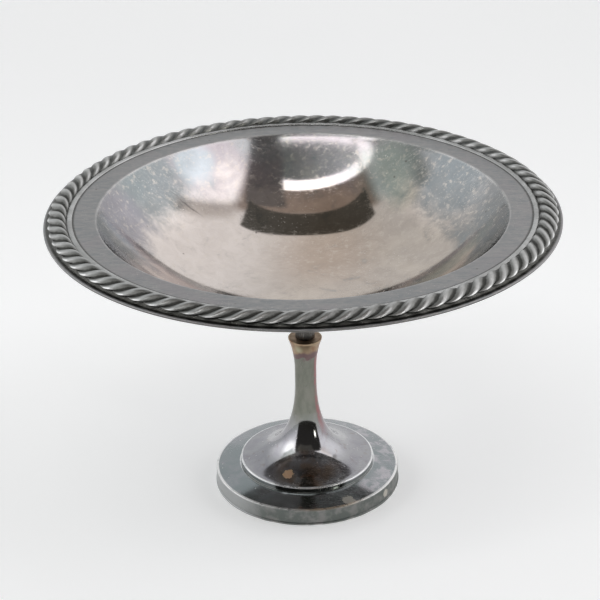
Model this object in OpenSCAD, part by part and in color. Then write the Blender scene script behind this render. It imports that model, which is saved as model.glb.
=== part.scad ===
// Footed compote: a shallow bowl with a gadroon border, held on a trumpet stem and a
// stepped round foot by one threaded rod, with its nut up inside the foot.
// The origin is the centre of the ring that the foot stands on. +Z is up.

/* [Bowl] */
// Outer diameter of the thin lip round the bowl
lip_d = 160; // [156:0.5:164]
// Height of the flange's flat top above the surface that the foot stands on
flange_z = 96.6; // [94:0.2:104]
// Thickness of the spun sheet
sheet_t = 0.8; // [0.6:0.05:1]
// Diameter of the hollow at the flange's inner edge
hollow_d = 127.6; // [120:0.2:130]
// Depth of the hollow below the flange
hollow_depth = 28.8; // [26:0.2:30]
// How far the lip lies below the flange
lip_drop = 1.3; // [1:0.1:1.6]

/* [Border] */
// Number of slanting lobes round the border
lobe_count = 82; // [60:1:96]
// Inner diameter of the gadroon border
border_id = 145.8; // [144:0.2:148]
// Outer diameter of the lobes' ends
border_od = 157.5; // [156:0.1:157.6]
// Height of the lobes' crests above the flange
lobe_h = 2.05; // [1.4:0.05:2.6]
// Part of a lobe's height that the groove beside it takes away
groove_share = 0.45; // [0.2:0.05:0.6]
// How many lobe widths the inner end of a lobe leads its outer end
lobe_lead = 1.4; // [0.5:0.1:2]
// Width of the plain bead inside the border
bead_w = 1.75; // [1:0.05:2]
// Height of the bead above the flange
bead_h = 0.45; // [0.3:0.05:0.8]

/* [Stem] */
// Height of the stem's flat top
stem_top_z = 52; // [50:0.5:54]
// Diameter of the flared lip at the stem's top
stem_lip_d = 10.9; // [10.4:0.1:12]
// Diameter of the stem's narrow neck
neck_d = 7; // [6.6:0.1:8]
// Diameter of the stem's base, where it stands on the foot
skirt_d = 43.4; // [42:0.2:44]
// Height of the top edge of the stem's base
skirt_z = 8.9; // [8.6:0.1:9.2]
// Height of the step between the stem's base and the foot
skirt_h = 2; // [1.6:0.1:2.1]

/* [Foot] */
// Outer diameter of the ring that the foot stands on
foot_d = 60.2; // [59:0.2:64]
// Height of the foot's outer edge
foot_edge_z = 5.5; // [5:0.1:6]
// Height of the standing ring under the foot's band
ring_h = 0.9; // [0.6:0.1:1.2]

/* [Fastening] */
// Diameter of the threaded rod
rod_d = 4; // [3.8:0.1:4.2]
// Height of the rod's lower end above the standing surface
rod_foot_z = 5; // [4.8:0.1:5.2]
// Where the clamp washer bears, as a share of the way down the stem's inner curve
seat_share = 0.6; // [0.56:0.01:0.62]
// Width of the nut across its flats
nut_af = 7; // [6.6:0.1:8]
// Thickness of the nut
nut_h = 2.2; // [1.8:0.1:2.4]
// Turn of the nut from its tight position, with the pitch of its thread below
nut_turn = 0; // [0:15:1800]
// Distance that one turn moves the nut
thread_pitch = 0.7; // [0.5:0.05:0.8]

/* [Hidden] */
$fn = 96;

lip_r = lip_d / 2;
hollow_r = hollow_d / 2;
floor_z = flange_z - hollow_depth;
hollow_steps = 24;
// The hollow's height goes with this power of the radius: nearly flat in the middle, steep at the flange
hollow_power = 3;
// Where the flange starts to turn down to the lip, and how wide that turn is
cove_r = lip_r - 3.1;
cove_w = 1.7;
cove_steps = 6;

boss_r = 3.1;
boss_flare_r = 11;
boss_flare_t = 0.8;
boss_waist_z = stem_top_z + 3.5;
rod_top_z = floor_z - 4.6;
rod_gap = 0.2;
rod_chamfer = 0.4;

cap_r = stem_lip_d / 2 - 0.6;
cap_t = 0.8;
flare_low_z = stem_top_z - 12;
sweep_top_z = stem_top_z - 16;
curve_steps = 14;
skirt_wall = 1;
skirt_foot_z = skirt_z - skirt_h;

foot_r = foot_d / 2;
ring_proud = 0.25;
ring_w = 1.9;
band_r = foot_r - ring_proud;
edge_round = 0.35;
plate_inner_r = skirt_d / 2 - 4;

lock_t = 0.8;
lock_r = 3.8;
lock_slit = 0.5;
clamp_t = 1;
clamp_rise = 0.5;
clamp_edge = 0.2;
fit_gap = 0.05;
nut_drop = thread_pitch * nut_turn / 360;

// Point at share t along a cubic curve with four control points
function curve(a, b, c, d, t) =
    pow(1 - t, 3) * a + 3 * pow(1 - t, 2) * t * b + 3 * (1 - t) * t * t * c + t * t * t * d;
function curve_points(a, b, c, d, steps) = [for (i = [0 : steps]) curve(a, b, c, d, i / steps)];
function flipped(list) = [for (i = [len(list) - 1 : -1 : 0]) list[i]];

// Section of the hollow from the axis to the flange, set out square to its inner face by "out"
function hollow_points(out, last) = [for (i = [0 : last]) let (
    share = i / hollow_steps,
    slope = hollow_power * hollow_depth / hollow_r * pow(share, hollow_power - 1),
    long = sqrt(1 + slope * slope))
    [hollow_r * share + out * slope / long,
     floor_z + hollow_depth * pow(share, hollow_power) - out / long]];

// Section of the turn from the flange down to the lip, as half a wave
function cove_points(top) = [for (i = [0 : cove_steps])
    [cove_r + cove_w * i / cove_steps, top - lip_drop * (1 - cos(180 * i / cove_steps)) / 2]];

module turned(points) {
    rotate_extrude() polygon(points);
}

module bowl() {
    inner = hollow_points(0, hollow_steps);
    under = hollow_points(sheet_t, hollow_steps - 1);
    lip_top = flange_z - lip_drop;
    color("silver") turned(concat(
        inner,
        cove_points(flange_z),
        [[lip_r - 0.15, lip_top], [lip_r, lip_top - 0.15],
         [lip_r, lip_top - sheet_t + 0.15], [lip_r - 0.15, lip_top - sheet_t]],
        flipped(cove_points(flange_z - sheet_t)),
        [[hollow_r + 0.6, flange_z - sheet_t]],
        flipped(under)));
}

// Points of the border's section on the flange and over a lobe, as shares of its width
// and height, from the inner edge to the outer end
BORDER = [[0, 0], [0.05, 0.6], [0.2, 1], [0.45, 0.94], [0.72, 0.66], [0.93, 0.36], [1, 0]];
slices_per_lobe = 4;
slice_count = lobe_count * slices_per_lobe;
border_w = (border_od - border_id) / 2;

// Groove depth, from 0 on a lobe's crest to 1 in the groove, at slice j
function groove(j) = (1 - cos(360 * j / slices_per_lobe)) / 2;
function border_point(j, k) = let (
    share = BORDER[k],
    dip = groove_share * groove(j),
    r = border_id / 2 + border_w * (share[0] - 0.25 * dip * share[0]),
    z = flange_z + lobe_h * share[1] * (1 - dip),
    turn = 360 * j / slice_count - lobe_lead * 360 / lobe_count * share[0])
    [r * cos(turn), r * sin(turn), z];

module gadroon_border() {
    rows = len(BORDER);
    points = [for (j = [0 : slice_count - 1]) for (k = [0 : rows - 1]) border_point(j, k)];
    faces = [for (j = [0 : slice_count - 1]) for (k = [0 : rows - 1]) let (
        a = j * rows + k,
        b = j * rows + (k + 1) % rows,
        c = ((j + 1) % slice_count) * rows + (k + 1) % rows,
        d = ((j + 1) % slice_count) * rows + k)
        each [[a, b, c], [a, c, d]]];
    color("gainsboro") polyhedron(points, faces);
}

module rim_bead() {
    // The bead is the cap of a circle that stands on the flange
    ball_r = (pow(bead_w / 2, 2) + bead_h * bead_h) / (2 * bead_h);
    half = asin(bead_w / 2 / ball_r);
    mid_r = border_id / 2 - bead_w / 2 - 0.05;
    color("whitesmoke") turned([for (i = [0 : 8]) let (a = half * (i / 4 - 1))
        [mid_r + ball_r * sin(a), flange_z + bead_h - ball_r * (1 - cos(a))]]);
}

module bowl_boss() {
    top = [for (p = hollow_points(sheet_t, hollow_steps)) if (p[0] < boss_flare_r) p];
    edge = top[len(top) - 1];
    sweep = curve_points([edge[0], edge[1] - boss_flare_t], [edge[0] - 5.5, edge[1] - 1.4],
                         [boss_r, boss_waist_z + 6], [boss_r, boss_waist_z], curve_steps);
    color("dimgray") difference() {
        turned(concat(top, sweep, [[boss_r, stem_top_z], [0, stem_top_z]]));
        translate([0, 0, stem_top_z - 1]) cylinder(d = rod_d, h = rod_top_z - stem_top_z + 1);
    }
}

module tie_rod() {
    r = rod_d / 2;
    color("darkgoldenrod") turned([
        [0, rod_foot_z], [r - rod_chamfer, rod_foot_z], [r, rod_foot_z + rod_chamfer],
        [r, rod_top_z - rod_chamfer], [r - rod_chamfer, rod_top_z], [0, rod_top_z]]);
}

module stem_cap() {
    color("goldenrod") translate([0, 0, stem_top_z - cap_t]) difference() {
        cylinder(r = cap_r, h = cap_t);
        translate([0, 0, -1]) cylinder(d = rod_d + 2 * rod_gap, h = cap_t + 2);
    }
}

// Outer line of the stem, from its lip down to the edge of its base
function stem_outer() = concat(
    flipped(curve_points([neck_d / 2, flare_low_z], [neck_d / 2, flare_low_z + 5],
                         [neck_d / 2 + 0.8, stem_top_z - 3], [stem_lip_d / 2, stem_top_z - 0.2],
                         curve_steps)),
    curve_points([neck_d / 2, sweep_top_z], [neck_d / 2, sweep_top_z - 16],
                 [neck_d / 2 + 5.5, skirt_z + 1.6], [skirt_d / 2 - 0.4, skirt_z], curve_steps));

// Control points of the stem's inner curve, from the bore down to the edge of its base
INNER = [[rod_d / 2 + rod_gap, sweep_top_z - 4], [rod_d / 2 + rod_gap, sweep_top_z - 19],
         [neck_d / 2 + 4.5, skirt_z + 0.7], [skirt_d / 2 - skirt_wall - 0.4, skirt_z - 1.2]];
function stem_inner() =
    flipped(curve_points(INNER[0], INNER[1], INNER[2], INNER[3], curve_steps));
// Circle on that curve where the clamp washer bears, as its radius and height
seat = curve(INNER[0], INNER[1], INNER[2], INNER[3], seat_share);
clamp_r = seat[0] + clamp_edge;
clamp_z = seat[1] - fit_gap;

module stem() {
    bore_r = rod_d / 2 + rod_gap;
    color("darkgray") turned(concat(
        [[cap_r, stem_top_z], [stem_lip_d / 2 - 0.2, stem_top_z]],
        stem_outer(),
        [[skirt_d / 2, skirt_z - 0.4], [skirt_d / 2, skirt_foot_z],
         [skirt_d / 2 - skirt_wall, skirt_foot_z], [skirt_d / 2 - skirt_wall, skirt_z - 1.6]],
        stem_inner(),
        [[bore_r, stem_top_z - cap_t], [cap_r, stem_top_z - cap_t]]));
}

module foot() {
    slope_end_r = skirt_d / 2 + 0.4;
    color("slategray") turned([
        [plate_inner_r, skirt_foot_z], [slope_end_r, skirt_foot_z],
        [band_r - edge_round, foot_edge_z], [band_r, foot_edge_z - edge_round],
        [band_r, ring_h], [band_r - sheet_t, ring_h],
        [band_r - sheet_t, foot_edge_z - sheet_t - 0.2],
        [slope_end_r, skirt_foot_z - sheet_t], [plate_inner_r, skirt_foot_z - sheet_t]]);
}

module foot_ring() {
    color("lightgray") turned([
        [foot_r - ring_w, 0], [foot_r - 0.2, 0], [foot_r, 0.2], [foot_r, ring_h - 0.2],
        [foot_r - 0.2, ring_h], [foot_r - ring_w, ring_h]]);
}

module clamp_washer() {
    hole_r = rod_d / 2 + rod_gap;
    flat_r = lock_r + 0.4;
    color("burlywood") turned([
        [hole_r, clamp_z - clamp_t - clamp_rise], [flat_r, clamp_z - clamp_t - clamp_rise],
        [clamp_r - clamp_edge, clamp_z - clamp_t], [clamp_r, clamp_z - clamp_t + clamp_edge],
        [clamp_r, clamp_z - clamp_edge], [clamp_r - clamp_edge, clamp_z],
        [flat_r, clamp_z - clamp_rise], [hole_r, clamp_z - clamp_rise]]);
}

lock_top_z = clamp_z - clamp_t - clamp_rise;

module lock_washer() {
    color("gray") translate([0, 0, lock_top_z - lock_t - nut_drop]) difference() {
        cylinder(r = lock_r, h = lock_t);
        translate([0, 0, -1]) cylinder(r = rod_d / 2 + fit_gap, h = lock_t + 2);
        rotate([20, 0, 0]) translate([0, -lock_slit / 2, -2]) cube([lock_r + 1, lock_slit, 4]);
    }
}

module nut() {
    corner_r = nut_af / 2 / cos(30);
    chamfer = 0.4;
    color("peru") translate([0, 0, lock_top_z - lock_t - nut_h - nut_drop]) rotate([0, 0, -nut_turn])
        difference() {
            intersection() {
                cylinder(r = corner_r, h = nut_h, $fn = 6);
                turned([[0, 0], [corner_r - chamfer, 0], [corner_r, chamfer * 0.6],
                        [corner_r, nut_h - chamfer * 0.6], [corner_r - chamfer, nut_h], [0, nut_h]]);
            }
            translate([0, 0, -1]) cylinder(r = rod_d / 2 + fit_gap, h = nut_h + 2);
        }
}

bowl();
gadroon_border();
rim_bead();
bowl_boss();
tie_rod();
stem_cap();
stem();
foot();
foot_ring();
clamp_washer();
lock_washer();
nut();
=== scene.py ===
"""Looks of a tarnished, silver-plated compote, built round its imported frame. Metres, +Z up."""
import math

import bmesh
import bpy
from mathutils import Matrix, Vector, noise


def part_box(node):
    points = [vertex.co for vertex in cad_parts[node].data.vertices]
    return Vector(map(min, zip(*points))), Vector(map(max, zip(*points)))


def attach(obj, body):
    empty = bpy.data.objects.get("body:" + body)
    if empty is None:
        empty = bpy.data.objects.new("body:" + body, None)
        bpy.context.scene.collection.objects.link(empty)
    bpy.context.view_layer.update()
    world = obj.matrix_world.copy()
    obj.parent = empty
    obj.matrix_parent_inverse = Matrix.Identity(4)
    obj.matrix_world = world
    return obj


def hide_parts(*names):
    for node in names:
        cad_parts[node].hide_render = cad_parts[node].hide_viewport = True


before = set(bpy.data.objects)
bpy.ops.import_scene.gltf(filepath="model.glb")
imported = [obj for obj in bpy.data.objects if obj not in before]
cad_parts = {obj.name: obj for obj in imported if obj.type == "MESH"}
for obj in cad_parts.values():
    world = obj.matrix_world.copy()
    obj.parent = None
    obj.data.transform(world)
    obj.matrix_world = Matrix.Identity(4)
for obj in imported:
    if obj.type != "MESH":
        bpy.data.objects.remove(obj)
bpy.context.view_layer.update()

MM = 0.001
BODY = "compote"


# ---------------------------------------------------------------- sizes, from the frame

def low(node):
    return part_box(node)[0].z


def high(node):
    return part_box(node)[1].z


def reach(node):
    """Outer radius of a round node."""
    a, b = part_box(node)
    return min(b.x, b.y, -a.x, -a.y)


SHEET = 0.8 * MM                      # thickness of the spun sheet
FLANGE_Z = high("bowl")               # flat top of the flange
FLOOR_Z = low("bowl") + SHEET         # inside of the bowl at the axis
LIP_R = reach("bowl")
HOLLOW_R = 63.8 * MM                  # where the hollow meets the flange
LIP_DROP = 1.3 * MM
COVE_R = LIP_R - 3.1 * MM             # where the flange turns down to the lip
COVE_W = 1.7 * MM
BEAD_OUT = reach("rim_bead")
BEAD_W = 1.75 * MM
BORDER_IN = BEAD_OUT + 0.05 * MM
BORDER_OUT = reach("gadroon_border")
BORDER_TOP = high("gadroon_border")
LOBES = 82
STEM_TOP = high("stem")
STEM_FOOT = low("stem")
SKIRT_R = reach("stem")
NECK_R = 3.5 * MM
STEM_LIP_R = 5.45 * MM                # flared lip at the stem's top
BORE_R = 2.2 * MM                     # hole down the stem and through the washer
CAP_T = 0.8 * MM
SKIRT_TOP = STEM_FOOT + 2.0 * MM      # top edge of the stem's round base
SKIRT_WALL = 1.0 * MM
BOSS_R = 3.1 * MM                     # waist of the collar under the bowl
BAND_R = reach("foot")
FOOT_EDGE_Z = 5.5 * MM
RING_R = reach("foot_ring")
RING_H = high("foot_ring")
RING_W = 1.9 * MM
ROD_R = reach("tie_rod")
PITCH = 0.7 * MM                      # of the rod's thread
THREAD = 0.38 * MM                    # its depth


def hollow_z(r):
    """Height of the bowl's inner face at radius r."""
    return FLOOR_Z + (FLANGE_Z - FLOOR_Z) * (r / HOLLOW_R) ** 3


# ---------------------------------------------------------------- outlines of turned pieces

def curve(a, b, c, d, steps):
    """Points along a cubic curve with four control points."""
    points = []
    for i in range(steps + 1):
        t = i / steps
        w = ((1 - t) ** 3, 3 * (1 - t) ** 2 * t, 3 * (1 - t) * t * t, t ** 3)
        points.append(tuple(sum(k * p[n] for k, p in zip(w, (a, b, c, d))) for n in (0, 1)))
    return points


def rounded(corners, steps=5):
    """Outline through corners (r, z, radius), each rounded by an arc of that radius."""
    points = []
    last = len(corners) - 1
    for i, (r, z, radius) in enumerate(corners):
        here = Vector((r, z))
        if radius <= 0 or i in (0, last):
            points.append((r, z))
            continue
        back = (Vector(corners[i - 1][:2]) - here).normalized()
        ahead = (Vector(corners[i + 1][:2]) - here).normalized()
        half = back.angle(ahead) / 2
        cut = radius / math.tan(half)
        middle = here + (back + ahead).normalized() * radius / math.sin(half)
        start, end = here + back * cut - middle, here + ahead * cut - middle
        sweep = start.angle_signed(end)
        for k in range(steps + 1):
            points.append(tuple(middle + Matrix.Rotation(-sweep * k / steps, 2) @ start))
    return points


def stretched(points, longest):
    """The same outline with long straight stretches cut up."""
    out = [points[0]]
    for a, b in zip(points, points[1:]):
        parts = max(1, math.ceil(math.dist(a, b) / longest))
        out += [(a[0] + (b[0] - a[0]) * k / parts, a[1] + (b[1] - a[1]) * k / parts)
                for k in range(1, parts + 1)]
    return out


# ---------------------------------------------------------------- meshes

def finished(name, bm, materials, sharp=35):
    """Object from a bmesh, smooth but for its corners."""
    bmesh.ops.recalc_face_normals(bm, faces=bm.faces)
    mesh = bpy.data.meshes.new(name)
    bm.to_mesh(mesh)
    bm.free()
    mesh.polygons.foreach_set("use_smooth", [True] * len(mesh.polygons))
    mesh.set_sharp_from_angle(angle=math.radians(sharp))
    for material in materials:
        mesh.materials.append(material)
    obj = bpy.data.objects.new(name, mesh)
    bpy.context.scene.collection.objects.link(obj)
    return obj


def grid(name, rows, closed, materials, sharp=35, skin=None):
    """Object from rings of points; a ring of one point is the axis. skin gives a row's material."""
    bm = bmesh.new()
    rings = [[bm.verts.new(p) for p in row] for row in rows]
    pairs = list(zip(rings, rings[1:]))
    if closed:
        pairs.append((rings[-1], rings[0]))
    for index, (a, b) in enumerate(pairs):
        count = max(len(a), len(b))
        for j in range(count):
            k = (j + 1) % count
            corners = [a[j % len(a)], a[k % len(a)], b[k % len(b)], b[j % len(b)]]
            face = bm.faces.new(list(dict.fromkeys(corners)))
            if skin:
                face.material_index = skin(index)
    return finished(name, bm, materials, sharp)


AXIS = 1e-7                           # a radius below this is on the axis


def circle(r, z, count, turn=0.0):
    """Ring of points round the axis, that starts at the angle turn."""
    return [Vector((r * math.cos(a), r * math.sin(a), z))
            for a in (2 * math.pi * j / count + turn for j in range(count))]


def turned(name, outline, materials, segments=256, closed=True, wobble=None, skin=None):
    """Turned piece: the outline (r, z) swept round the axis. wobble moves a point slightly."""
    rows = []
    for r, z in outline:
        ring = [Vector((0, 0, z))] if r < AXIS else circle(r, z, segments)
        rows.append([wobble(p) for p in ring] if wobble else ring)
    return grid(name, rows, closed, materials, skin=skin)


def settle(obj, node):
    """Puts a piece on the compote's body, in the place of its CAD node."""
    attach(obj, BODY)
    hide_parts(node)


# ---------------------------------------------------------------- material helpers

class Tree:
    """A node tree with short calls. Any input may be a number, a colour or another node's output."""

    def __init__(self, tree):
        self.tree = tree

    def put(self, socket, value):
        if isinstance(value, bpy.types.NodeSocket):
            self.tree.links.new(value, socket)
        else:
            socket.default_value = value

    def node(self, kind, inputs=(), **settings):
        made = self.tree.nodes.new(kind)
        for key, value in settings.items():
            setattr(made, key, value)
        for key, value in dict(inputs).items():
            self.put(made.inputs[key], value)
        return made

    def math(self, operation, a, b=0.0):
        return self.node("ShaderNodeMath", {0: a, 1: b}, operation=operation).outputs[0]

    def times(self, a, b):
        return self.math("MULTIPLY", a, b)

    def plus(self, a, b):
        return self.math("ADD", a, b)

    def minus(self, a, b):
        return self.math("SUBTRACT", a, b)

    def most(self, a, b):
        return self.math("MAXIMUM", a, b)

    def size(self, a):
        return self.math("ABSOLUTE", a)

    def clamp01(self, a):
        return self.node("ShaderNodeClamp", {0: a}).outputs[0]

    def mix(self, share, a, b, blend="MIX"):
        """Colour a where share is 0 and b where it is 1."""
        made = self.tree.nodes.new("ShaderNodeMix")
        made.data_type = "RGBA"
        made.blend_type = blend
        self.put(made.inputs[0], share)
        self.put(made.inputs[6], a if isinstance(a, bpy.types.NodeSocket) else (*a, 1))
        self.put(made.inputs[7], b if isinstance(b, bpy.types.NodeSocket) else (*b, 1))
        return made.outputs[2]

    def step(self, value, start, end, low=0.0, high=1.0):
        """Smooth change from low to high as value goes from start to end."""
        return self.node("ShaderNodeMapRange", {0: value, 1: start, 2: end, 3: low, 4: high},
                         interpolation_type="SMOOTHSTEP").outputs[0]

    def noise(self, where, scale, detail=3.0, rough=0.5, twist=0.0):
        return self.node("ShaderNodeTexNoise", {"Vector": where, "Scale": scale, "Detail": detail,
                                                "Roughness": rough, "Distortion": twist}).outputs[0]

    def cells(self, where, scale):
        return self.node("ShaderNodeTexVoronoi", {"Vector": where, "Scale": scale}).outputs

    def moved(self, where, scale=(1, 1, 1), turn=(0, 0, 0), shift=(0, 0, 0)):
        return self.node("ShaderNodeMapping", {"Vector": where, "Scale": scale, "Rotation": turn,
                                               "Location": shift}).outputs[0]


def surface(name):
    """New material: its Tree, its Principled shader and the object's coordinates."""
    material = bpy.data.materials.new(name)
    material.use_nodes = True
    tree = Tree(material.node_tree)
    shader = material.node_tree.nodes["Principled BSDF"]
    place = tree.node("ShaderNodeTexCoord").outputs["Object"]
    return material, tree, shader, place


def split(tree, place):
    """x, y, z and distance from the axis."""
    parts = tree.node("ShaderNodeSeparateXYZ", {0: place}).outputs
    flat = tree.node("ShaderNodeVectorMath", {0: place, 1: (1, 1, 0)}, operation="MULTIPLY")
    size = tree.node("ShaderNodeVectorMath", {0: flat.outputs[0]}, operation="LENGTH")
    return parts[0], parts[1], parts[2], size.outputs["Value"]


def scratches(tree, place, scale, turns, width=0.5):
    """Share from 0 to 1 on fine hairlines that run in a few directions."""
    total = None
    for index, turn in enumerate(turns):
        flow = tree.moved(place, (1, 24, 1), (0, 0, turn), (index * 0.31, index * 0.17, 0))
        line = tree.step(tree.noise(flow, scale, 2.0, 0.5, 0.15), 0.62, 0.62 + 0.1 * width)
        gate = tree.step(tree.noise(place, 28 + 9 * index, 1.0), 0.45, 0.6)
        both = tree.times(line, gate)
        total = both if total is None else tree.most(total, both)
    return total


def specks(tree, place, scale, size, share):
    """Share from 0 to 1 on small round spots, in only some of the cells."""
    cells = tree.cells(place, scale)
    spot = tree.step(cells["Distance"], size, size * 0.45)
    pick = tree.node("ShaderNodeSeparateColor", {0: cells["Color"]}).outputs[0]
    return tree.times(spot, tree.step(pick, 1 - share, 1 - share + 0.02))


TURNING = 9000                        # turning marks: radians of their wave per metre of radius


def relief(tree, shader, height, distance):
    """Bump; it goes with the shape's own detail and carries only marks too fine to model."""
    bump = tree.node("ShaderNodeBump", {"Height": height, "Distance": distance, "Strength": 1.0})
    tree.put(shader.inputs["Normal"], bump.outputs[0])


def ragged(tree, value, pattern, amount):
    """The value, moved up and down by the pattern, so that a limit set on it runs unevenly."""
    return tree.plus(value, tree.times(tree.minus(pattern, 0.5), amount))


def plate(name, clean, dull, deep, patch, rough, grime=0.5):
    """Silver plate with patches of duller film, hairlines, pits and fine turning marks."""
    material, tree, shader, place = surface(name)
    z, r = split(tree, place)[2:]
    film = tree.noise(place, patch, 5.0, 0.62, 0.6)
    blotch = tree.noise(place, patch * 3.7, 4.0, 0.6, 0.3)
    colour = tree.mix(tree.step(film, 0.36, 0.64), clean, dull)
    colour = tree.mix(tree.times(tree.step(blotch, 0.56, 0.74), grime), colour, deep)
    pits = specks(tree, place, 900, 0.34, 0.1)
    lines = scratches(tree, place, 420, (0.4, 1.9, 2.7))
    colour = tree.mix(tree.times(pits, 0.35), colour, (0.75, 0.72, 0.68))
    colour = tree.mix(tree.times(lines, 0.18), colour, (0.8, 0.79, 0.77))
    tree.put(shader.inputs["Base Color"], colour)
    haze = tree.plus(tree.step(film, 0.3, 0.7, rough[0], rough[1]),
                     tree.times(tree.most(pits, lines), 0.22))
    tree.put(shader.inputs["Roughness"], tree.clamp01(haze))
    shader.inputs["Metallic"].default_value = 1.0
    rings = tree.math("SINE", tree.plus(tree.times(r, TURNING), tree.times(z, 7000)))
    height = tree.plus(tree.times(rings, 0.012),
                       tree.plus(tree.times(blotch, 0.12), tree.times(pits, -0.3)))
    relief(tree, shader, height, 0.02 * MM)
    return material, tree, shader, place


# ---------------------------------------------------------------- materials

def blob(tree, place, centre, inner, outer):
    """Share that is 1 inside a ball and fades out by its outer radius."""
    gap = tree.node("ShaderNodeVectorMath", {0: place, 1: centre}, operation="DISTANCE")
    return tree.step(gap.outputs["Value"], outer, inner)


# Tarnish on the side of the hollow: centre, reach, colour
TARNISH = (((-0.052, 0.034, 0.091), 0.026, (0.23, 0.26, 0.265)),
           ((-0.055, 0.010, 0.091), 0.020, (0.31, 0.30, 0.33)),
           ((-0.036, 0.049, 0.092), 0.012, (0.50, 0.55, 0.58)),
           ((0.029, 0.048, 0.088), 0.018, (0.34, 0.37, 0.345)),
           ((0.050, 0.034, 0.090), 0.026, (0.20, 0.225, 0.235)))
CREVICE_GRIME_AND_SHADE = (0.05, 0.05, 0.045)         # grime and painted shade in the crevice beside the bead
RECESS_SHADE = (0.085, 0.085, 0.078)        # painted shade under the lobes' outer ends


def hollow_colour(tree, place, film, fine):
    """Film inside the bowl: pink-brown in the middle, blue-green and grey at the sides."""
    x, y, _, r = split(tree, place)
    tint = tree.noise(tree.moved(place, shift=(3, 1, 2)), 26, 5.0, 0.6, 1.2)
    warm = tree.mix(tree.step(tint, 0.38, 0.62), (0.63, 0.55, 0.48), (0.56, 0.49, 0.435))
    warm = tree.mix(tree.step(film, 0.5, 0.68, 0.0, 0.6), warm, (0.45, 0.37, 0.31))
    browned = blob(tree, place, (0.004, 0.026, 0.070), 0.006, 0.030)
    warm = tree.mix(tree.times(browned, 0.6), warm, (0.49, 0.37, 0.285))
    # Lighter on the left half: partly the film's tone, partly painted light.
    left = tree.step(tree.minus(x, tree.times(y, 0.25)), 0.0, -0.03)
    warm = tree.mix(tree.times(left, 0.85), warm, (0.76, 0.69, 0.65))
    cool = tree.mix(tree.step(tint, 0.4, 0.6), (0.40, 0.405, 0.41), (0.43, 0.39, 0.405))
    cool = tree.mix(tree.step(x, -0.046, -0.054), cool, (0.27, 0.275, 0.275))
    grey = tree.mix(fine, (0.27, 0.28, 0.285), (0.31, 0.305, 0.30))
    cool = tree.mix(tree.step(x, 0.015, 0.045), cool, grey)
    colour = tree.mix(tree.step(ragged(tree, r, film, 0.05), 0.045, 0.061), warm, cool)
    rag = tree.times(tree.plus(film, fine), 0.9)
    for centre, size, shade in TARNISH:
        share = tree.plus(blob(tree, place, centre, size * 0.1, size), rag)
        colour = tree.mix(tree.times(tree.step(share, 0.95, 1.7), 0.85), colour, shade)
    mottle = tree.times(tree.step(fine, 0.35, 0.65), 0.30)
    return tree.mix(mottle, colour, tree.mix(1.0, colour, (0.72, 0.70, 0.68), "MULTIPLY"))


def flange_colour(tree, place, film, grain):
    """Brushed grey plate of the flat flange."""
    brushed = tree.noise(tree.moved(place, (1, 4, 1), (0, 0, 0.7)), 120, 5.0, 0.75, 1.5)
    colour = tree.mix(tree.step(brushed, 0.36, 0.64), (0.245, 0.255, 0.26), (0.325, 0.315, 0.31))
    colour = tree.mix(tree.times(tree.step(grain, 0.5, 0.7), 0.35), colour, (0.42, 0.39, 0.39))
    return tree.mix(tree.step(film, 0.45, 0.65, 0.0, 0.5), colour, (0.30, 0.275, 0.285))


def nick_share(tree, place, film):
    """One long dark scratch on the left of the hollow, given by a slanting line and its middle."""
    x, y = split(tree, place)[:2]
    line = ragged(tree, tree.plus(y, tree.times(x, 0.25)), film, 0.006)
    off = tree.size(tree.minus(line, 0.0253))
    return tree.times(tree.step(off, 0.55 * MM, 0.1 * MM),
                      blob(tree, place, (-0.038, 0.0346, 0.0827), 0.001, 0.008))


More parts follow.
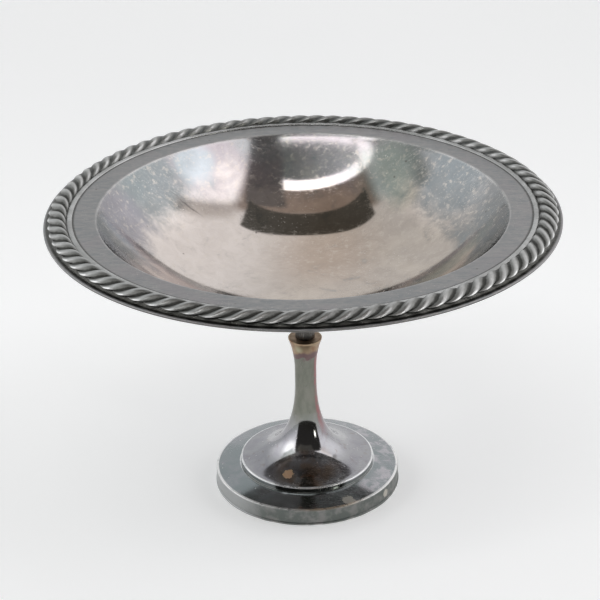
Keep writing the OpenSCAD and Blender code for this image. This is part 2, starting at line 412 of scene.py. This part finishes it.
def bowl_material():
    """Inside of the bowl and the flange, worn along the edge between them."""
    material, tree, shader, place = surface("bowl_plate")
    r = split(tree, place)[3]
    film = tree.noise(place, 34, 6.0, 0.62, 0.9)
    grain = tree.noise(place, 520, 3.0, 0.7)
    fine = tree.noise(place, 190, 4.0, 0.65, 0.5)
    bright_grain = tree.times(tree.step(grain, 0.52, 0.68), 0.35)
    colour = tree.mix(bright_grain, hollow_colour(tree, place, film, fine), (0.72, 0.64, 0.56))
    on_flange = tree.step(r, HOLLOW_R - 0.3 * MM, HOLLOW_R + 0.1 * MM)
    colour = tree.mix(on_flange, colour, flange_colour(tree, place, film, grain))
    rim = tree.size(tree.minus(r, HOLLOW_R))
    worn = tree.times(tree.step(rim, 0.55 * MM, 0.15 * MM), tree.step(fine, 0.35, 0.6, 0.2, 0.7))
    colour = tree.mix(worn, colour, (0.50, 0.49, 0.48))
    colour = tree.mix(tree.times(nick_share(tree, place, film), 0.6), colour, (0.14, 0.13, 0.13))
    # Dark ring in the crevice beside the bead: grime and painted shade.
    half = BEAD_W / 2
    off_bead = tree.size(tree.minus(r, BEAD_OUT - half))
    crevice_grime_and_shade = tree.times(tree.step(off_bead, half + 0.85 * MM, half + 0.2 * MM), 0.85)
    colour = tree.mix(crevice_grime_and_shade, colour, CREVICE_GRIME_AND_SHADE)
    # Painted shade on the flange under the lobes' outer ends.
    recess_shade = tree.times(tree.step(r, BORDER_OUT - 3.0 * MM, BORDER_OUT - 2.0 * MM),
                        tree.step(r, LIP_R - 0.35 * MM, LIP_R - 0.9 * MM))
    colour = tree.mix(recess_shade, colour, RECESS_SHADE)

    dust = tree.most(specks(tree, place, 1000, 0.22, 0.16), specks(tree, place, 1700, 0.28, 0.16))
    dust = tree.times(dust, tree.step(tree.noise(place, 40, 3.0), 0.4, 0.62, 0.15, 0.85))
    lines = scratches(tree, place, 360, (0.62, 0.78, 2.5, 1.6), 0.7)
    marks = tree.most(dust, tree.times(lines, 0.45))
    colour = tree.mix(tree.times(marks, 0.6), colour, (0.86, 0.82, 0.78))
    spots = specks(tree, place, 260, 0.14, 0.06)
    colour = tree.mix(tree.times(spots, 0.6), colour, (0.12, 0.10, 0.09))
    tree.put(shader.inputs["Base Color"], colour)
    base = tree.step(r, HOLLOW_R - 0.5 * MM, HOLLOW_R + 0.1 * MM, 0.055, 0.32)
    base = tree.plus(base, tree.step(r, 0.050, 0.062, 0.0, 0.06))
    haze = tree.plus(tree.plus(base, tree.times(bright_grain, 0.16)), tree.times(marks, 0.3))
    tree.put(shader.inputs["Roughness"], tree.clamp01(haze))
    shader.inputs["Metallic"].default_value = 1.0
    rings = tree.math("SINE", tree.times(r, TURNING))
    height = tree.plus(tree.times(rings, 0.006),
                       tree.minus(tree.times(fine, 0.10), tree.times(dust, 0.3)))
    relief(tree, shader, height, 0.012 * MM)
    return material


def border_material():
    """Lobes worn bright along their crests and tips, with dark oxide left in the grooves, made darker
    on the near side by painted shade.
    """
    material, tree, shader, place = surface("border_plate")
    worn = tree.node("ShaderNodeAttribute", attribute_name="crest").outputs["Fac"]
    fine = tree.noise(place, 520, 4.0, 0.65, 0.3)
    wear = ragged(tree, worn, fine, 0.55)
    y = split(tree, place)[1]
    # Grooves: dark oxide, made darker on the near side (y < 0) by painted shade.
    groove_oxide_and_shade = tree.mix(tree.step(y, 0.0, 0.06), (0.06, 0.06, 0.055), (0.14, 0.145, 0.14))
    colour = tree.mix(tree.step(wear, 0.06, 0.4), groove_oxide_and_shade, (0.24, 0.24, 0.23))
    colour = tree.mix(tree.step(wear, 0.5, 0.9), colour, (0.44, 0.44, 0.43))
    colour = tree.mix(tree.step(wear, 0.9, 1.15), colour, (0.78, 0.78, 0.77))
    tree.put(shader.inputs["Base Color"], colour)
    tree.put(shader.inputs["Roughness"], tree.step(wear, 0.1, 1.0, 0.5, 0.28))
    shader.inputs["Metallic"].default_value = 1.0
    relief(tree, shader, fine, 0.06 * MM)
    return material


def bare_metal(name, bright, dark, rough=0.34):
    """Unplated metal with a dull film and a fine grain."""
    material, tree, shader, place = surface(name)
    film = tree.noise(place, 260, 5.0, 0.6, 0.5)
    grain = tree.noise(tree.moved(place, (1, 1, 9)), 900, 2.0)
    tree.put(shader.inputs["Base Color"], tree.mix(tree.step(film, 0.35, 0.65), bright, dark))
    tree.put(shader.inputs["Roughness"], tree.step(film, 0.3, 0.7, rough, rough + 0.2))
    shader.inputs["Metallic"].default_value = 1.0
    relief(tree, shader, tree.plus(grain, film), 0.015 * MM)
    return material


def edge_wear_and_highlight(tree, place, value, start, end):
    """Uneven band, partly wear and partly painted highlight, where value lies between start and end.
    """
    middle, half = (start + end) / 2, (end - start) / 2
    gap = tree.size(tree.minus(value, middle))
    band = tree.step(gap, half * 1.5, half * 0.6)
    uneven_gate = tree.step(tree.noise(place, 170, 3.0, 0.6), 0.3, 0.52, 0.35, 1.0)
    return tree.times(band, uneven_gate)


def brass_patches(tree, place, patches):
    """Share on small ragged patches where the plate has worn through."""
    total = None
    rag = tree.times(tree.minus(tree.noise(place, 900, 4.0, 0.65), 0.5), 0.9)
    for centre, size in patches:
        share = tree.step(tree.plus(blob(tree, place, centre, 0.0, size), rag), 0.42, 0.62)
        total = share if total is None else tree.most(total, share)
    return total


FILM_Z = (44.8 * MM, 45.3 * MM)       # where the stem's purple film starts, below the brass
BRASS_Z = (47.0 * MM, 48.4 * MM)      # where its brass starts


def stem_material():
    """Grey-green neck with a pink streak, brassy flared top and a cleaner, bluish base."""
    material, tree, shader, place = plate("stem_plate", (0.39, 0.39, 0.40), (0.33, 0.325, 0.35),
                                          (0.24, 0.19, 0.17), patch=120, rough=(0.06, 0.13))
    x, y, z, r = split(tree, place)
    plated = shader.inputs["Base Color"].links[0].from_socket
    haze = shader.inputs["Roughness"].links[0].from_socket
    fine = tree.noise(place, 160, 4.0)
    height = ragged(tree, z, fine, 0.008)
    long_film = tree.noise(tree.moved(place, (1, 1, 0.4)), 260, 4.0, 0.6)
    neck = tree.mix(tree.step(long_film, 0.35, 0.65), (0.175, 0.185, 0.155), (0.235, 0.235, 0.205))
    colour = tree.mix(tree.step(height, 0.019, 0.027), plated, neck)
    off = tree.size(tree.plus(tree.math("ARCTAN2", y, x), 0.42))
    streak = tree.times(tree.step(off, 0.42, 0.12), tree.step(height, 0.016, 0.026))
    streak = tree.times(streak, tree.step(tree.noise(place, 420, 3.0), 0.38, 0.56, 0.25, 1.0))
    colour = tree.mix(tree.times(streak, 0.8), colour, (0.36, 0.14, 0.15))
    purple = tree.times(tree.step(height, *FILM_Z), 0.85)
    colour = tree.mix(purple, colour, (0.19, 0.12, 0.125))
    mottle = tree.step(tree.noise(place, 330, 3.0), 0.4, 0.6)
    brass = tree.mix(mottle, (0.40, 0.30, 0.20), (0.31, 0.19, 0.12))
    bright = blob(tree, place, (-0.0023, -0.0045, 0.0492), 0.4 * MM, 2.2 * MM)
    brass = tree.mix(bright, brass, (0.46, 0.42, 0.29))
    colour = tree.mix(tree.step(height, *BRASS_Z), colour, brass)
    # Pale spot on the left of the sweep: a painted highlight.
    highlight_spot = blob(tree, place, (-0.0052, -0.0079, 0.0148), 0.001, 0.0042)
    colour = tree.mix(tree.times(highlight_spot, 0.85), colour, (0.92, 0.92, 0.93))
    brown = tree.times(blob(tree, place, (0, -0.015, 0.0095), 0.006, 0.013), 0.75)
    colour = tree.mix(tree.times(brown, tree.step(fine, 0.4, 0.6)), colour, (0.34, 0.24, 0.17))
    bare = brass_patches(tree, place, (((-0.0062, -0.0150, 0.0101), 3.6 * MM),
                                       ((0.0010, -0.0095, 0.0115), 2.2 * MM)))
    colour = tree.mix(bare, colour, (0.72, 0.50, 0.33))
    # Pale band on the rounded top edge of the skirt: partly wear, partly painted highlight.
    rim = tree.times(edge_wear_and_highlight(tree, place, r, SKIRT_R - 0.55 * MM, SKIRT_R - 0.02 * MM),
                     tree.step(z, SKIRT_TOP - 0.7 * MM, SKIRT_TOP - 0.3 * MM))
    colour = tree.mix(rim, colour, (0.86, 0.86, 0.86))
    # Painted shade on the upright face of the skirt's edge.
    skirt_face_shade = tree.times(tree.step(r, SKIRT_R - 0.1 * MM, SKIRT_R - 0.03 * MM),
                      tree.step(z, SKIRT_TOP - 0.4 * MM, SKIRT_TOP - 0.8 * MM))
    colour = tree.mix(skirt_face_shade, colour, (0.22, 0.23, 0.22))
    tree.put(shader.inputs["Base Color"], colour)
    rougher = tree.most(tree.times(bare, 0.55), tree.times(rim, 0.32))
    brassy = tree.step(height, *FILM_Z, 0.0, 0.3)
    tree.put(shader.inputs["Roughness"], tree.most(tree.most(haze, brassy), rougher))
    return material


def foot_material():
    """Foot and its ring: blue-grey plate, paler on its edges from wear and, along the top edge and
    beside the stem, from painted highlights; in places worn through to brass.
    """
    material, tree, shader, place = plate("foot_plate", (0.34, 0.35, 0.365), (0.27, 0.30, 0.305),
                                          (0.36, 0.34, 0.37), patch=85, rough=(0.06, 0.14), grime=0.6)
    x, _, z, r = split(tree, place)
    colour = shader.inputs["Base Color"].links[0].from_socket
    haze = shader.inputs["Roughness"].links[0].from_socket
    fine = tree.noise(place, 260, 4.0, 0.65)
    pale = tree.times(tree.times(tree.step(x, -0.002, 0.024), tree.step(fine, 0.46, 0.62)), 0.55)
    colour = tree.mix(pale, colour, (0.58, 0.54, 0.57))
    band = tree.step(r, BAND_R - 0.25 * MM, BAND_R - 0.1 * MM)
    side = tree.mix(tree.step(fine, 0.4, 0.62), (0.15, 0.165, 0.155), (0.25, 0.25, 0.24))
    # Lighter on the left (x below -0.012): partly the plate's tone, partly painted light.
    side = tree.mix(tree.step(x, -0.012, -0.024), side, (0.44, 0.45, 0.45))
    colour = tree.mix(band, colour, side)
    bare = brass_patches(tree, place, (((0.0130, -0.0246, 0.0060), 4.2 * MM),
                                       ((0.0252, -0.0162, 0.0030), 2.6 * MM)))
    colour = tree.mix(tree.times(bare, 0.8), colour, (0.66, 0.62, 0.55))
    # Pale band on the band's rounded top edge, brass near the front: partly wear, partly painted
    # highlight.
    top_edge = tree.times(edge_wear_and_highlight(tree, place, r, BAND_R - 0.75 * MM, BAND_R - 0.1 * MM),
                          tree.step(z, FOOT_EDGE_Z - 0.6 * MM, FOOT_EDGE_Z - 0.25 * MM))
    front = blob(tree, place, (0.008, -0.029, 0.005), 0.004, 0.014)
    metal = tree.mix(tree.times(front, 0.7), (0.88, 0.87, 0.86), (0.72, 0.52, 0.33))
    colour = tree.mix(top_edge, colour, metal)
    # Pale ring beside the stem's foot: partly wear, partly painted highlight.
    corner = tree.times(edge_wear_and_highlight(tree, place, r, SKIRT_R + 0.05 * MM, SKIRT_R + 0.45 * MM),
                        tree.step(z, STEM_FOOT - 0.4 * MM, STEM_FOOT - 0.1 * MM, 0.0, 0.9))
    colour = tree.mix(corner, colour, (0.80, 0.80, 0.80))
    bottom = tree.times(tree.step(z, 0.55 * MM, 0.2 * MM), tree.step(fine, 0.4, 0.6, 0.3, 1.0))
    colour = tree.mix(bottom, colour, (0.66, 0.66, 0.65))
    tree.put(shader.inputs["Base Color"], colour)
    rougher = tree.most(tree.most(tree.most(top_edge, corner), bare), band)
    tree.put(shader.inputs["Roughness"], tree.most(haze, tree.times(rougher, 0.36)))
    return material


BOWL = bowl_material()
UNDER = plate("bowl_underside", (0.17, 0.165, 0.16), (0.12, 0.115, 0.11), (0.07, 0.06, 0.055),
              patch=45, rough=(0.22, 0.42))[0]
BORDER = border_material()
BEAD = plate("bead_plate", (0.50, 0.50, 0.495), (0.38, 0.38, 0.37), (0.2, 0.2, 0.19),
             patch=120, rough=(0.2, 0.34))[0]
BOSS = plate("boss_plate", (0.085, 0.08, 0.075), (0.055, 0.052, 0.048), (0.2, 0.15, 0.1),
             patch=240, rough=(0.25, 0.45))[0]
STEM = stem_material()
FOOT = foot_material()
BRASS = bare_metal("bare_brass", (0.52, 0.38, 0.27), (0.36, 0.26, 0.18))
ROD = bare_metal("rod_brass", (0.55, 0.42, 0.19), (0.38, 0.28, 0.14))
STEEL = bare_metal("dark_steel", (0.30, 0.29, 0.28), (0.16, 0.15, 0.14), 0.4)


# ---------------------------------------------------------------- pieces

def uneven(p):
    """Slight waves left in the sheet by spinning and by use."""
    share = min(1.0, math.hypot(p.x, p.y) / HOLLOW_R)
    wave = noise.noise(p * 28) * 0.05 + noise.noise(p * 75) * 0.012
    return p + Vector((0, 0, wave * MM * share * (1.2 - share)))


def make_bowl():
    """One sheet: hollow, flange, cove and lip on the inside, and the same again below."""
    steps, cove_steps, longest = 70, 8, 1.5 * MM
    radii = [HOLLOW_R * i / steps for i in range(steps)]
    inner = rounded([(r, hollow_z(r), 0) for r in radii]
                    + [(HOLLOW_R, FLANGE_Z, 0.25 * MM), (HOLLOW_R + 6 * MM, FLANGE_Z, 0)])
    cove = []
    for i in range(cove_steps + 1):
        share = i / cove_steps
        cove.append((COVE_R + COVE_W * share,
                     FLANGE_Z - LIP_DROP * (1 - math.cos(math.pi * share)) / 2))
    lip_in, lip_z, lip_round = LIP_R - 1.0 * MM, FLANGE_Z - LIP_DROP, 0.3 * MM
    lip = rounded([(lip_in, lip_z, 0), (LIP_R, lip_z, lip_round),
                   (LIP_R, lip_z - SHEET, lip_round), (lip_in, lip_z - SHEET, 0)])
    middle = len(lip) // 2 - 1
    inside = stretched(inner + cove + lip[:middle], longest)
    under = []
    for r in reversed(radii):
        slope = 3 * (FLANGE_Z - FLOOR_Z) * r * r / HOLLOW_R ** 3
        long = math.hypot(1, slope)
        under.append((r + SHEET * slope / long, hollow_z(r) - SHEET / long))
    under_cove = [(r, z - SHEET) for r, z in reversed(cove)]
    outside = stretched(lip[middle:] + under_cove
                        + [(HOLLOW_R + 1.2 * MM, FLANGE_Z - SHEET)] + under, longest)
    obj = turned("bowl_shell", inside + outside, [BOWL, UNDER], segments=320, closed=False,
                 wobble=uneven, skin=lambda row: 0 if row < len(inside) else 1)
    settle(obj, "bowl")


# Sections of the border: share of its width, height above the flange in mm
CREST = ((0.0, 0.0), (0.03, 0.75), (0.10, 1.45), (0.22, 1.95), (0.36, 2.05), (0.52, 1.84),
         (0.68, 1.42), (0.82, 0.92), (0.93, 0.46), (0.99, 0.10), (0.985, -0.16), (0.93, -0.22))
GROOVE = ((0.04, 0.0), (0.08, 0.42), (0.16, 0.82), (0.27, 1.10), (0.39, 1.15), (0.52, 1.02),
          (0.63, 0.80), (0.72, 0.55), (0.78, 0.32), (0.81, 0.14), (0.81, 0.04), (0.78, 0.01))


def smooth_section(points, steps):
    """The section's points joined by a smooth curve."""
    width = BORDER_OUT - BORDER_IN
    scale = (BORDER_TOP - FLANGE_Z) / max(h for s, h in CREST)
    knots = [Vector((BORDER_IN + width * s, h * scale)) for s, h in points]
    out = []
    for i in range(len(knots) - 1):
        a, b = knots[max(i - 1, 0)], knots[i]
        c, d = knots[i + 1], knots[min(i + 2, len(knots) - 1)]
        for k in range(steps):
            t = k / steps
            out.append(0.5 * ((2 * b) + (c - a) * t + (2 * a - 5 * b + 4 * c - d) * t * t
                              + (3 * b - a - 3 * c + d) * t ** 3))
    return out + [knots[-1]]


def make_border():
    """Rope-like lobes that climb over a rounded section and fold down at their outer ends."""
    columns = 26                      # of points in a lobe
    lead = 1.75                       # how many lobes the inner end leads the outer one
    count = LOBES * columns
    crests, grooves = smooth_section(CREST, 3), smooth_section(GROOVE, 3)
    rows, wear = [], []
    for i, (top, bottom) in enumerate(zip(crests, grooves)):
        run = i / (len(crests) - 1)
        tip = max(0.0, 1 - abs(run - 0.80) / 0.12)
        ring = []
        for j in range(count):
            lean = ((j / columns) % 1.0) ** 0.82
            strand = math.sin(math.pi * lean) ** 1.25
            jitter = 0.10 * noise.noise(Vector((j // columns * 3.1, run * 2, 5)))
            p = bottom.lerp(top, strand * (1 - abs(jitter)))
            angle = 2 * math.pi * (j / count) - lead * run * 2 * math.pi / LOBES
            ring.append(Vector((p.x * math.cos(angle), p.x * math.sin(angle), FLANGE_Z + p.y)))
            wear.append(strand ** 1.6 * (0.92 + 0.4 * tip + jitter))
        rows.append(ring)
    for share, turn in ((0.70, lead), (0.06, 0)):
        r = BORDER_IN + share * (BORDER_OUT - BORDER_IN)
        rows.append(circle(r, FLANGE_Z + 0.002 * MM, count, -2 * math.pi * turn / LOBES))
        wear += [0.0] * count
    obj = grid("gadroon_lobes", rows, True, [BORDER], sharp=70)
    layer = obj.data.attributes.new("crest", "FLOAT", "POINT")
    layer.data.foreach_set("value", wear)
    settle(obj, "gadroon_border")


def make_bead():
    half = BEAD_W / 2
    mid = BEAD_OUT - half
    height = high("rim_bead") - FLANGE_Z
    steps = 14
    arc = [(mid + half * math.cos(a), FLANGE_Z + height * math.sin(a))
           for a in (math.pi * k / steps for k in range(steps + 1))]
    settle(turned("rim_bead_wire", arc, [BEAD], segments=320), "rim_bead")


def make_boss():
    """Collar that flares up to meet the bowl."""
    hole = 2.0 * MM
    top = [(r, hollow_z(r) - SHEET - 0.02 * MM) for r in (hole, 5 * MM, 8 * MM, 10.4 * MM)]
    edge_r, edge_z = top[-1]
    sweep = curve((edge_r - 0.2 * MM, edge_z - 0.7 * MM), (edge_r - 5.3 * MM, edge_z - 1.4 * MM),
                  (BOSS_R, STEM_TOP + 9.5 * MM), (BOSS_R, STEM_TOP + 3.5 * MM), 24)
    rim = [(edge_r + 0.1 * MM, edge_z - 0.25 * MM), (edge_r + 0.05 * MM, edge_z - 0.5 * MM)]
    foot = rounded([(BOSS_R, STEM_TOP + 2 * MM, 0), (BOSS_R, STEM_TOP, 0.15 * MM),
                    (hole, STEM_TOP, 0)])
    obj = turned("bowl_collar", top + rim + sweep + foot, [BOSS], segments=96)
    settle(obj, "bowl_boss")


def make_cap():
    hole, bottom, r = 2.25 * MM, low("stem_cap"), reach("stem_cap") - 0.02 * MM
    outline = rounded([(hole, bottom, 0), (r, bottom, 0), (r, STEM_TOP, 0.12 * MM),
                       (hole, STEM_TOP, 0)])
    settle(turned("stem_cap_disc", outline, [BRASS], segments=96), "stem_cap")


def make_stem():
    """Hollow trumpet: lip, flare, neck, sweep, turned edge, then back up inside."""
    mouth = reach("stem_cap")
    flare = curve((STEM_LIP_R, STEM_TOP - 0.35 * MM), (NECK_R + 0.8 * MM, STEM_TOP - 3 * MM),
                  (NECK_R, STEM_TOP - 7 * MM), (NECK_R, STEM_TOP - 12 * MM), 30)
    sweep = curve((NECK_R, STEM_TOP - 16 * MM), (NECK_R, STEM_TOP - 32 * MM),
                  (NECK_R + 5.5 * MM, SKIRT_TOP + 1.6 * MM), (SKIRT_R - 0.7 * MM, SKIRT_TOP), 60)
    inner = curve((BORE_R, STEM_TOP - 20 * MM), (BORE_R, STEM_TOP - 35 * MM),
                  (NECK_R + 4.5 * MM, SKIRT_TOP + 0.7 * MM),
                  (SKIRT_R - SKIRT_WALL - 0.4 * MM, SKIRT_TOP - 1.2 * MM), 30)
    lip = rounded([(mouth, STEM_TOP, 0), (STEM_LIP_R, STEM_TOP, 0.15 * MM), flare[1] + (0,)])
    inside_r = SKIRT_R - SKIRT_WALL
    edge = rounded([(SKIRT_R - 1.2 * MM, SKIRT_TOP + 0.03 * MM, 0), (SKIRT_R, SKIRT_TOP, 0.45 * MM),
                    (SKIRT_R, STEM_FOOT, 0.12 * MM), (inside_r, STEM_FOOT, 0),
                    (inside_r, SKIRT_TOP - 1.5 * MM, 0)], steps=8)
    seat = [(BORE_R, STEM_TOP - CAP_T), (mouth, STEM_TOP - CAP_T)]
    outline = lip[:-1] + flare[1:] + sweep[:-1] + edge[1:] + inner[::-1] + seat
    settle(turned("stem_trumpet", outline, [STEM], segments=224), "stem")


def make_foot():
    """Sheet with a sloping top and an upright band."""
    slope_r, inner_r = SKIRT_R + 0.4 * MM, SKIRT_R - 4 * MM
    bend = 0.4 * MM
    outline = rounded([
        (inner_r, STEM_FOOT, 0), (slope_r, STEM_FOOT, 0.5 * MM), (BAND_R, FOOT_EDGE_Z, bend),
        (BAND_R, RING_H, 0), (BAND_R - SHEET, RING_H, 0),
        (BAND_R - SHEET, FOOT_EDGE_Z - SHEET - 0.2 * MM, bend),
        (slope_r, STEM_FOOT - SHEET, bend), (inner_r, STEM_FOOT - SHEET, 0)], steps=7)
    settle(turned("foot_plate", outline, [FOOT]), "foot")


def make_ring():
    inner_r, edge = RING_R - RING_W, 0.25 * MM
    outline = rounded([(inner_r, RING_H, 0), (inner_r, 0, 0.15 * MM), (RING_R, 0, edge),
                       (RING_R, RING_H, edge), (RING_R - 1.0 * MM, RING_H, 0)])
    settle(turned("foot_ring_wire", outline, [FOOT]), "foot_ring")


def make_washer():
    """Dished washer: a flat middle that lies lower than its edge."""
    bottom, top, edge = low("clamp_washer"), high("clamp_washer"), reach("clamp_washer")
    flat, dish, bend = 4.2 * MM, 0.5 * MM, 0.4 * MM
    outline = rounded([
        (BORE_R, bottom, 0), (flat, bottom, bend), (edge - 0.1 * MM, bottom + dish, 0.2 * MM),
        (edge, top - 0.25 * MM, 0.1 * MM), (edge - 0.2 * MM, top, 0.05 * MM),
        (flat, top - dish, bend), (BORE_R, top - dish, 0)])
    obj = turned("clamp_washer_disc", outline, [BRASS], segments=96)
    settle(obj, "clamp_washer")


def make_rod():
    """Rod with a cut thread at its lower end."""
    bottom, top = low("tie_rod"), high("tie_rod")
    length, lead_in = 13 * MM, 0.5 * MM
    per_turn, per_pitch = 40, 8
    count = int(length / PITCH * per_pitch)
    rows = [[Vector((0, 0, bottom))]]
    for i in range(count + 1):
        rise = length * i / count
        taper = 0.86 + 0.14 * min(1.0, rise / lead_in)
        ring = []
        for j, p in enumerate(circle(1.0, bottom + rise, per_turn)):
            phase = (rise / PITCH - j / per_turn) % 1.0
            cut = THREAD * max(0.0, 1 - abs(2 * phase - 1) * 1.25)
            r = (ROD_R - cut) * taper
            ring.append(Vector((p.x * r, p.y * r, p.z)))
        rows.append(ring)
    rows += [circle(ROD_R, z, per_turn) for z in (bottom + length + 0.3 * MM, top)]
    rows.append([Vector((0, 0, top))])
    settle(grid("tie_rod_threaded", rows, False, [ROD]), "tie_rod")


def dress_fastener(node, material, edge):
    """Keeps a CAD node's shape, with its edges eased and a better material."""
    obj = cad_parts[node]
    obj.data.materials.clear()
    obj.data.materials.append(material)
    bevel = obj.modifiers.new("eased_edges", "BEVEL")
    bevel.width = edge
    bevel.segments = 2
    bevel.limit_method = "ANGLE"


make_bowl()
make_border()
make_bead()
make_boss()
make_cap()
make_stem()
make_foot()
make_ring()
make_washer()
make_rod()
dress_fastener("lock_washer", STEEL, 0.05 * MM)
dress_fastener("nut", ROD, 0.06 * MM)


# ---------------------------------------------------------------- floor, light and camera

def make_floor():
    """Pale matt floor, lit a little from within so that it stays pale under a dark ceiling."""
    bm = bmesh.new()
    bmesh.ops.create_circle(bm, cap_ends=True, segments=128, radius=6.0)
    material, tree, shader, place = surface("pale_floor")
    soft = tree.noise(place, 3, 2.0)
    colour = tree.mix(soft, (0.88, 0.885, 0.885), (0.91, 0.91, 0.91))
    tree.put(shader.inputs["Base Color"], colour)
    tree.put(shader.inputs["Emission Color"], colour)
    y = split(tree, place)[1]
    tree.put(shader.inputs["Emission Strength"], tree.step(y, -0.15, 0.5, 0.36, 0.20))
    shader.inputs["Roughness"].default_value = 1.0
    shader.inputs["Specular IOR Level"].default_value = 0.0
    finished("floor", bm, [material])


def panel(tree, across, along, box, edge=0.03):
    """Share from 0 to 1 inside a box (across low, high, along low, high), with soft edges."""
    share = tree.times(tree.step(across, box[0] - edge, box[0] + edge),
                       tree.step(across, box[1] + edge, box[1] - edge))
    for part in (tree.step(along, box[2] - edge, box[2] + edge),
                 tree.step(along, box[3] + edge, box[3] - edge)):
        share = tree.times(share, part)
    return share


def oval(tree, across, along, middle, half, edge=0.04):
    """Share inside an oval with slightly pointed ends."""
    power = 1.85
    parts = []
    for value, centre, size in zip((across, along), middle, half):
        gap = tree.size(tree.minus(value, centre))
        parts.append(tree.math("POWER", tree.math("DIVIDE", gap, size), power))
    return tree.step(tree.plus(*parts), 1 + edge, 1 - edge)


def sky_panels(tree, colour, across, along):
    """Soft areas of the tent's roof. Across and along are x and y at height 1 above the dish."""
    level = tree.minus(along, tree.times(across, 0.5))
    for glow, line, box, edge in (
            ((0.60, 0.58, 0.57), level, (0.45, 1.10, -0.23, 0.0), 0.08),
            ((1.65, 1.64, 1.68), level, (0.45, 1.05, -1.0, -0.25), 0.08),
            ((0.68, 0.72, 0.70), along, (-1.0, -0.66, -0.55, 0.3), 0.10),
            ((0.52, 0.55, 0.54), along, (-1.25, -0.96, -0.55, 0.2), 0.10),
            ((0.12, 0.115, 0.10), along, (-0.80, 0.50, -1.3, -0.80), 0.04),
            ((0.33, 0.28, 0.25), along, (-0.55, 0.47, -0.78, 0.10), 0.06)):
        colour = tree.mix(panel(tree, across, line, box, edge), colour, glow)
    return colour


def skylight(tree, colour, across, along):
    """Oval softbox with a dim pane in the middle, cut off on one side."""
    cut = tree.step(across, 0.36, 0.32)
    middle = (0.05, -0.525)
    whole = tree.times(oval(tree, across, along, middle, (0.73, 0.312)), cut)
    pane = tree.times(oval(tree, across, along, middle, (0.60, 0.20)),
                      tree.times(cut, tree.step(across, -0.51, -0.49)))
    colour = tree.mix(whole, colour, (3.0, 3.0, 3.02))
    glass = tree.mix(tree.step(across, 0.2, -0.5), (0.20, 0.22, 0.21), (0.72, 0.80, 0.80))
    colour = tree.mix(pane, colour, glass)
    divider = panel(tree, across, along, (-0.525, -0.50, -0.74, -0.32), 0.008)
    return tree.mix(divider, colour, (0.7, 0.72, 0.72))


def dark_openings(tree, colour, across, along):
    """Dark upright beside the skylight, and a bent slot nearly overhead."""
    leaning = tree.plus(across, tree.times(tree.plus(along, 0.55), 0.14))
    upright = panel(tree, leaning, along, (0.18, 0.48, -0.9, 0.0), 0.02)
    colour = tree.mix(upright, colour, (0.16, 0.152, 0.15))
    squared = tree.times(across, across)
    bent = tree.plus(along, tree.times(squared, tree.plus(squared, 0.78)))
    slot = panel(tree, across, bent, (-0.48, 0.38, 0.08, 0.44), 0.012)
    return tree.mix(slot, colour, (0.085, 0.085, 0.078))


def make_light():
    """A white tent: its roof carries softboxes and openings, its front is open and dark."""
    world = bpy.data.worlds.new("light_tent")
    bpy.context.scene.world = world
    world.use_nodes = True
    tree = Tree(world.node_tree)
    background = world.node_tree.nodes["Background"]
    towards = tree.node("ShaderNodeTexCoord").outputs["Generated"]
    x, y, z = tree.node("ShaderNodeSeparateXYZ", {0: towards}).outputs
    least = 0.02                      # keeps the divisions below finite
    rise = tree.most(z, least)
    across, along = tree.math("DIVIDE", x, rise), tree.math("DIVIDE", y, rise)
    near = tree.most(tree.times(y, -1.0), least)
    wide, tall = tree.math("DIVIDE", x, near), tree.math("DIVIDE", z, near)

    colour = tree.mix(tree.step(x, -0.6, 0.6), (0.70, 0.72, 0.73), (0.90, 0.90, 0.91))
    sides = tree.times(tree.step(tree.size(x), 0.5, 0.85), tree.step(z, 0.9, 0.7))
    sides = tree.times(sides, tree.step(z, 0.05, 0.35))
    colour = tree.mix(sides, colour, (1.45, 1.45, 1.48))
    front = panel(tree, wide, tall, (-1.4, 2.1, -9, 1.9), 0.1)
    colour = tree.mix(front, colour, (0.045, 0.043, 0.04))
    lamp = panel(tree, wide, tall, (0.95, 1.2, 0.3, 0.5), 0.03)
    colour = tree.mix(lamp, colour, (7, 7, 6.2))
    for layer in (sky_panels, skylight, dark_openings):
        colour = layer(tree, colour, across, along)
    seen = tree.node("ShaderNodeLightPath").outputs["Is Camera Ray"]
    tree.put(background.inputs["Color"], tree.mix(seen, colour, (0.82, 0.82, 0.82)))
    background.inputs["Strength"].default_value = 1.0


CAMERA_AT = (0, -0.5633, 0.3425)
CAMERA_DOWN, CAMERA_SWING, CAMERA_ROLL = 26.22, -0.14, -1.07    # degrees
CAMERA_LENS, SENSOR = 119.06, 36                                # mm


def make_camera():
    """Looks down on the dish at 26 degrees, with a slight roll."""
    down, swing, roll = (math.radians(a) for a in (CAMERA_DOWN, CAMERA_SWING, CAMERA_ROLL))
    ahead = Vector((math.sin(swing) * math.cos(down), math.cos(swing) * math.cos(down),
                    -math.sin(down)))
    side = Vector((math.cos(swing), -math.sin(swing), 0))
    rise = side.cross(ahead)
    right = math.cos(roll) * side + math.sin(roll) * rise
    up = math.cos(roll) * rise - math.sin(roll) * side
    data = bpy.data.cameras.new("camera")
    data.lens = CAMERA_LENS
    data.sensor_width = SENSOR
    data.clip_start = 0.01
    camera = bpy.data.objects.new("camera", data)
    turn = Matrix((right, up, -ahead)).transposed()
    camera.matrix_world = Matrix.Translation(CAMERA_AT) @ turn.to_4x4()
    bpy.context.scene.collection.objects.link(camera)
    bpy.context.scene.camera = camera


make_floor()
make_light()
make_camera()
bpy.context.scene.view_settings.view_transform = "Standard"
